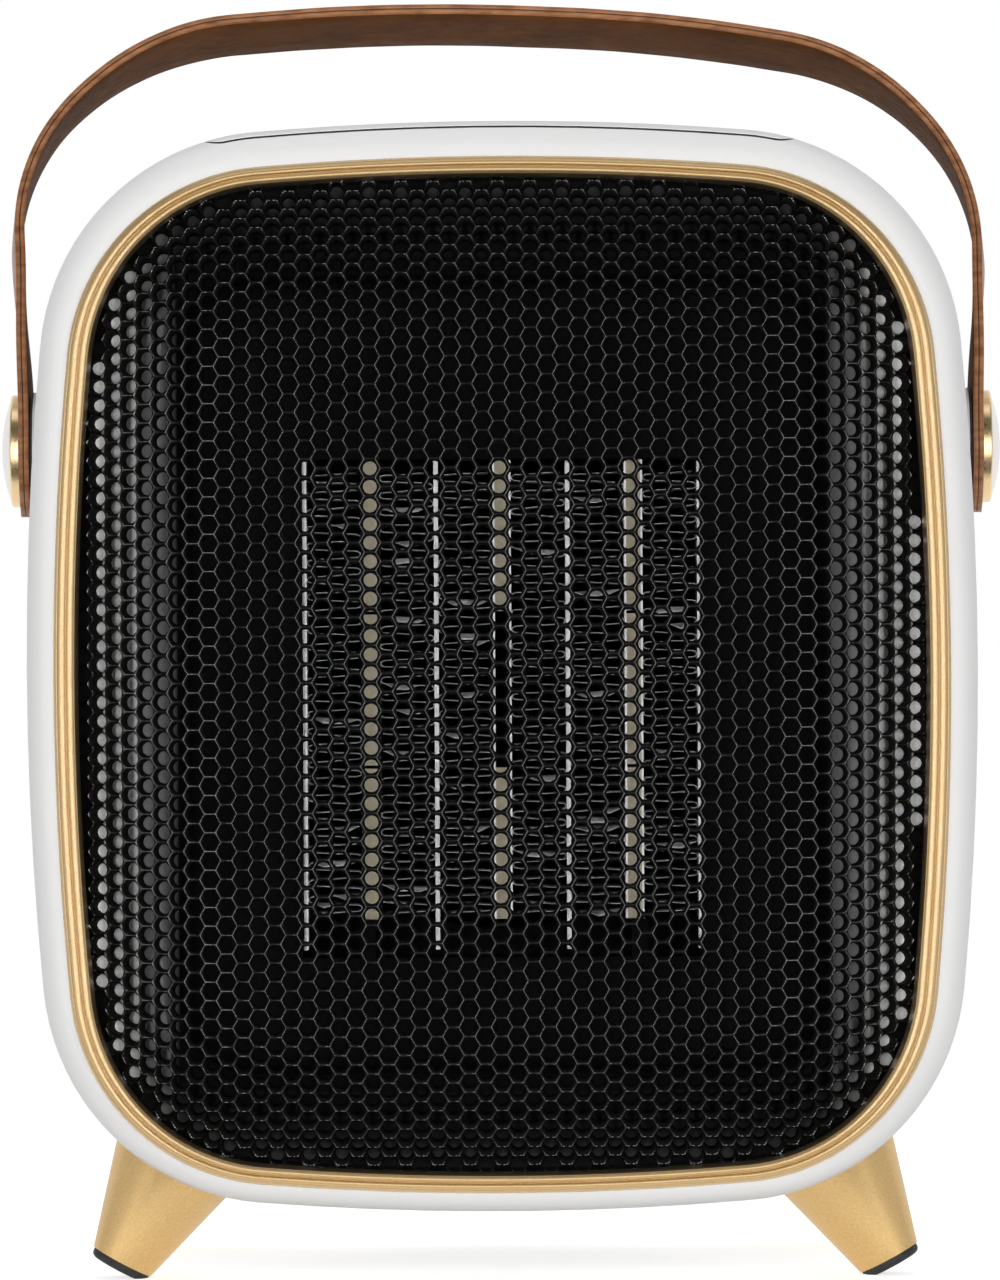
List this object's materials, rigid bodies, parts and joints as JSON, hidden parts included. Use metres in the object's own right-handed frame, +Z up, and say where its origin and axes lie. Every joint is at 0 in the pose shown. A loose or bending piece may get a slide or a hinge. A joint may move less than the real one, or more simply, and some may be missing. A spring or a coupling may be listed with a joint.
{
  "type": "ceramic fan heater",
  "caption": "Compact ceramic fan heater with a bowed casing, gold trim, honeycomb outlet grille, leather strap handle and splayed feet.",
  "frame": {"origin": "on the floor under the middle of the heater's box", "axes": "+X to the heater's right as seen from its front, +Y from front to back, +Z up"},
  "size_m": [0.187, 0.128, 0.2359],
  "materials": {
    "white_plastic": "glossy moulded white",
    "gold": "satin gold plating",
    "black_plastic": "matt moulded black",
    "leather": "brown saddle leather, two layers",
    "felt": "thin black felt",
    "rubber": "black rubber",
    "aluminium": "bare sheet",
    "ceramic": "unglazed beige",
    "steel": "zinc plated",
    "board": "green solder mask",
    "lens": "milky light guide",
    "sleeve": "glass-fibre sleeve"
  },
  "bodies": {
    "casing": {"board_screws": "steel", "bracket_screws": "steel", "button_switches": "black_plastic", "case_screws": "steel", "contact_sheets_left": "aluminium", "contact_sheets_middle": "aluminium", "contact_sheets_right": "aluminium", "control_board": "board", "control_panel": "white_plastic", "cord_gland": "black_plastic", "electrode_inner_left": "aluminium", "electrode_inner_right": "aluminium", "electrode_outer_left": "aluminium", "electrode_outer_right": "aluminium", "fan_shroud": "black_plastic", "fin_bank_1": "aluminium", "fin_bank_2": "aluminium", "fin_bank_3": "aluminium", "fin_bank_4": "aluminium", "fin_bank_5": "aluminium", "fin_bank_6": "aluminium", "frame_screws": "steel", "front_grille": "black_plastic", "front_shell": "white_plastic", "gland_nut": "black_plastic", "heater_frame": "black_plastic", "intake_filter": "felt", "leg_front_left": "gold", "leg_front_right": "gold", "leg_rear_left": "gold", "leg_rear_right": "gold", "leg_screws": "gold", "motor_body": "steel", "motor_bracket": "steel", "motor_screws": "steel", "outlet_funnel": "steel", "pad_front_left": "rubber", "pad_front_right": "rubber", "pad_rear_left": "rubber", "pad_rear_right": "rubber", "panel_seal": "rubber", "ptc_stones_left": "ceramic", "ptc_stones_middle": "ceramic", "ptc_stones_right": "ceramic", "rear_shell": "white_plastic", "shroud_screws": "steel", "status_lens": "lens", "strap_cap_left": "gold", "strap_cap_right": "gold", "strap_nuts": "steel", "strap_washers": "felt", "thermal_cutout": "black_plastic", "thermal_fuse": "sleeve", "tilt_switch": "black_plastic", "trim_ring": "gold"},
    "fan": {"fan_impeller": "black_plastic", "motor_shaft": "steel"},
    "handle": {"handle_strap": "leather"},
    "power_key": {"power_button": "gold"},
    "mode_key": {"mode_button": "gold"}
  },
  "joints": [
    {"name": "fan_spin", "type": "hinge", "parent": "casing", "child": "fan", "pos_m": [0, 0, 0.1071], "axis": [0, 1, 0], "continuous": true},
    {"name": "handle_swing", "type": "hinge", "parent": "casing", "child": "handle", "pos_m": [0, 0, 0.1521], "axis": [1, 0, 0], "range_deg": [-21, 41]},
    {"name": "power_press", "type": "slide", "parent": "casing", "child": "power_key", "axis": [0, 0, -1], "range_m": [0, 0.0009], "stiffness_N_per_m": 250, "springref_m": -0.0012},
    {"name": "mode_press", "type": "slide", "parent": "casing", "child": "mode_key", "axis": [0, 0, -1], "range_m": [0, 0.0009], "stiffness_N_per_m": 250, "springref_m": -0.0012}
  ]
}
